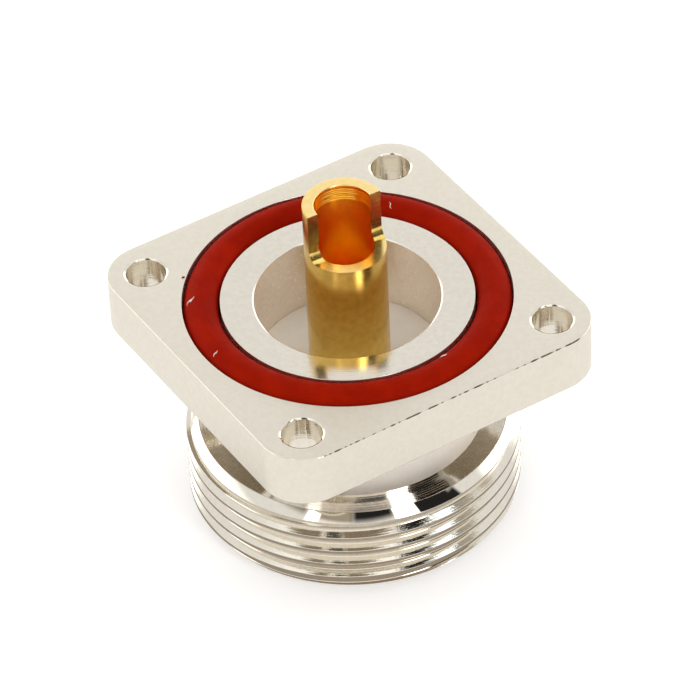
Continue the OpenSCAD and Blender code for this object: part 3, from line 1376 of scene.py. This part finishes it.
@dataclass
class Studio:
    """A pale floor, a white tent with brighter and darker panels, and the camera."""

    aim: Point = (0.0, 0.0, 14.87)
    azimuth: float = math.radians(58.99)
    elevation: float = math.radians(41.06)
    roll: float = math.radians(-2.64)
    distance: float = 427.65
    lens: float = 256.47
    sensor: float = 36.0
    # Nearest and farthest distances that the camera sees, in metres
    clip: Flat = (0.01, 20.0)
    floor_span: float = 3000.0
    floor_rings: tuple[float, ...] = (8.0, 30.0, 100.0, 400.0)
    floor_steps: int = 64
    floor_colour: Colour = (0.8, 0.8, 0.8)
    # How much the floor glows for the camera
    floor_seen: float = 0.36
    # What metal mirrors of the floor: warm and dim close to the connector as its painted shadow, tinted as
    # light reflected from its plating, pale farther out
    floor_near_painted_shadow: Colour = (0.36, 0.31, 0.26)
    floor_far: Colour = (1.05, 1.04, 1.02)
    near_reach: float = 21.0
    far_reach: float = 26.0
    metal_bounces: int = 10
    tent: Colour = (0.92, 0.92, 0.92)
    patches: tuple[SkyPatch, ...] = (
        SkyPatch("ceiling", (-180, 180), (62, 90), (1.25, 1.25, 1.25), 8.0),
        SkyPatch("low_wall_right", (62, 190), (-10, 28), (2.3, 2.3, 2.28), 5.0),
        SkyPatch("low_wall_left", (-190, -99), (-10, 28), (2.3, 2.3, 2.28), 5.0),
        SkyPatch("roof_gap", (-95, -35), (70, 84), (0.1, 0.1, 0.08), 2.0),
        SkyPatch("front_panel", (-58, -3), (5, 43), (1.15, 1.06, 1.0), 2.0),
        SkyPatch("warm_wall", (-59, -35), (44, 62), (0.42, 0.37, 0.29), 1.5),
        SkyPatch("lens_opening", (-35, -4), (44, 59), (0.02, 0.02, 0.02), 3.5),
        SkyPatch("left_gap", (-69, -59), (36, 62), (2.0, 2.0, 2.0), 1.0),
        SkyPatch("left_wall", (-98, -70), (44, 65), (0.32, 0.28, 0.23), 3.0),
        SkyPatch("opening", (12, 42), (8, 74), (0.02, 0.02, 0.02), 1.5),
        SkyPatch("grey_wall", (37, 50), (38, 50), (0.45, 0.43, 0.4), 1.5),
        SkyPatch("softbox", (-4, 12.5), (10, 52), (5.0, 5.0, 5.0), 1.0),
        SkyPatch("cool_panel", (47, 57), (58, 72), (2.0, 2.3, 2.5), 1.0),
        SkyPatch("gap", (57, 60), (52, 72), (0.1, 0.09, 0.08), 0.7),
        SkyPatch("right_wall", (60, 69), (50, 64), (0.45, 0.41, 0.35), 1.5),
    )

    def camera(self) -> None:
        """Sets the camera on the connector."""
        level = math.cos(self.elevation)
        back = Vector((math.sin(self.azimuth) * level, -math.cos(self.azimuth) * level,
                       math.sin(self.elevation)))
        right = Vector((math.cos(self.azimuth), math.sin(self.azimuth), 0))
        up = back.cross(right)
        rolled_right = right * math.cos(self.roll) + up * math.sin(self.roll)
        rolled_up = back.cross(rolled_right)
        data = bpy.data.cameras.new("camera")
        data.sensor_width = self.sensor
        data.lens = self.lens
        data.clip_start, data.clip_end = self.clip
        camera = bpy.data.objects.new("camera", data)
        turn = Matrix((rolled_right, rolled_up, back)).transposed().to_4x4()
        turn.translation = (Vector(self.aim) + back * self.distance) * MM
        camera.matrix_world = turn
        bpy.context.scene.collection.objects.link(camera)
        bpy.context.scene.camera = camera

    def floor(self) -> None:
        """Lays a pale floor that shows white and keeps the connector's shadow, and shows metal a painted
        shadow round the connector's foot.
        """
        skin = Skin("studio_floor")
        rings = [skin.loop(circle(reach, self.floor_steps), 0.0)
                 for reach in (*self.floor_rings, self.floor_span / 2)]
        for first, second in zip(rings, rings[1:]):
            skin.bridge(first, second, BEAD)
        skin.cap(rings[0], BEAD)
        piece = skin.make()
        graph = Graph("pale_floor")
        paper = graph.add("ShaderNodeBsdfDiffuse", {"Color": (*self.floor_colour, 1)}).outputs[0]
        path = graph.add("ShaderNodeLightPath").outputs
        strength = graph.math("MULTIPLY", path["Is Camera Ray"], self.floor_seen)
        glow = graph.add("ShaderNodeEmission", {"Strength": strength}).outputs[0]
        seen = graph.add("ShaderNodeAddShader", {0: paper, 1: glow}).outputs[0]
        # Painted shadow: glossy rays see the floor dim and warm near the connector
        spread = graph.ramp(graph.radius(), self.near_reach * MM, self.far_reach * MM)
        mirrored = graph.tint(spread, self.floor_near_painted_shadow, self.floor_far)
        image = graph.add("ShaderNodeEmission", {"Color": mirrored}).outputs[0]
        floor = graph.add("ShaderNodeMixShader", {0: path["Is Glossy Ray"], 1: seen, 2: image})
        graph.add("ShaderNodeOutputMaterial", {"Surface": floor.outputs[0]})
        piece.data.materials[0] = graph.material

    def panel(self, graph: Graph, patch: SkyPatch, bearing: bpy.types.NodeSocket,
              height: bpy.types.NodeSocket) -> bpy.types.NodeSocket:
        """Masks one panel of the tent.

        Args:
            graph: The room's node tree.
            patch: The panel.
            bearing: Bearing of a direction, in degrees.
            height: Its elevation, in degrees.

        Returns:
            The panel's share of that direction, from 0 to 1.
        """
        share = None
        for value, (low, high) in ((bearing, patch.bearings), (height, patch.elevations)):
            inside = graph.math("MULTIPLY", graph.ramp(value, low - patch.soft, low + patch.soft),
                                graph.ramp(value, high - patch.soft, high + patch.soft, 1.0, 0.0))
            share = inside if share is None else graph.math("MULTIPLY", share, inside)
        return share

    def room(self) -> None:
        """Hangs the tent round the connector."""
        world = bpy.data.worlds.new("tent")
        bpy.context.scene.world = world
        world.use_nodes = True
        graph = Graph.for_world(world)
        parts = graph.add("ShaderNodeSeparateXYZ", {0: graph.position}).outputs
        bearing = graph.math("DEGREES", graph.math("ARCTAN2", parts["Y"], parts["X"]))
        height = graph.math("DEGREES", graph.math("ARCSINE", parts["Z"]))
        light = self.tent
        for patch in self.patches:
            share = self.panel(graph, patch, bearing, height)
            light = graph.tint(share, light, patch.light)
        graph.add("ShaderNodeOutputWorld", {0: graph.add("ShaderNodeBackground", {0: light}).outputs[0]})

    def build(self) -> None:
        """Sets up the camera, the floor and the tent."""
        self.camera()
        self.floor()
        self.room()
        bpy.context.scene.view_settings.view_transform = "Standard"
        # Light goes back and forth many times between the flange and the shoulder
        bpy.context.scene.cycles.glossy_bounces = self.metal_bounces


def main() -> None:
    """Builds the studio and the connector."""
    logging.basicConfig(level=logging.INFO, format="%(name)s: %(message)s")
    Studio().build()
    parts = [
        FlangedBody.from_frame(),
        FlangeSeal.from_frame(),
        CentreContact.from_frame(),
        Bead("front_bead", recess_r=4.72, recess_depth=1.0),
        Bead("rear_bead"),
    ]
    for part in parts:
        piece = part.build()
        LOG.info("%s: %d triangles", piece.name, sum(face.loop_total - 2 for face in piece.data.polygons))


if __name__ == "__main__":
    main()
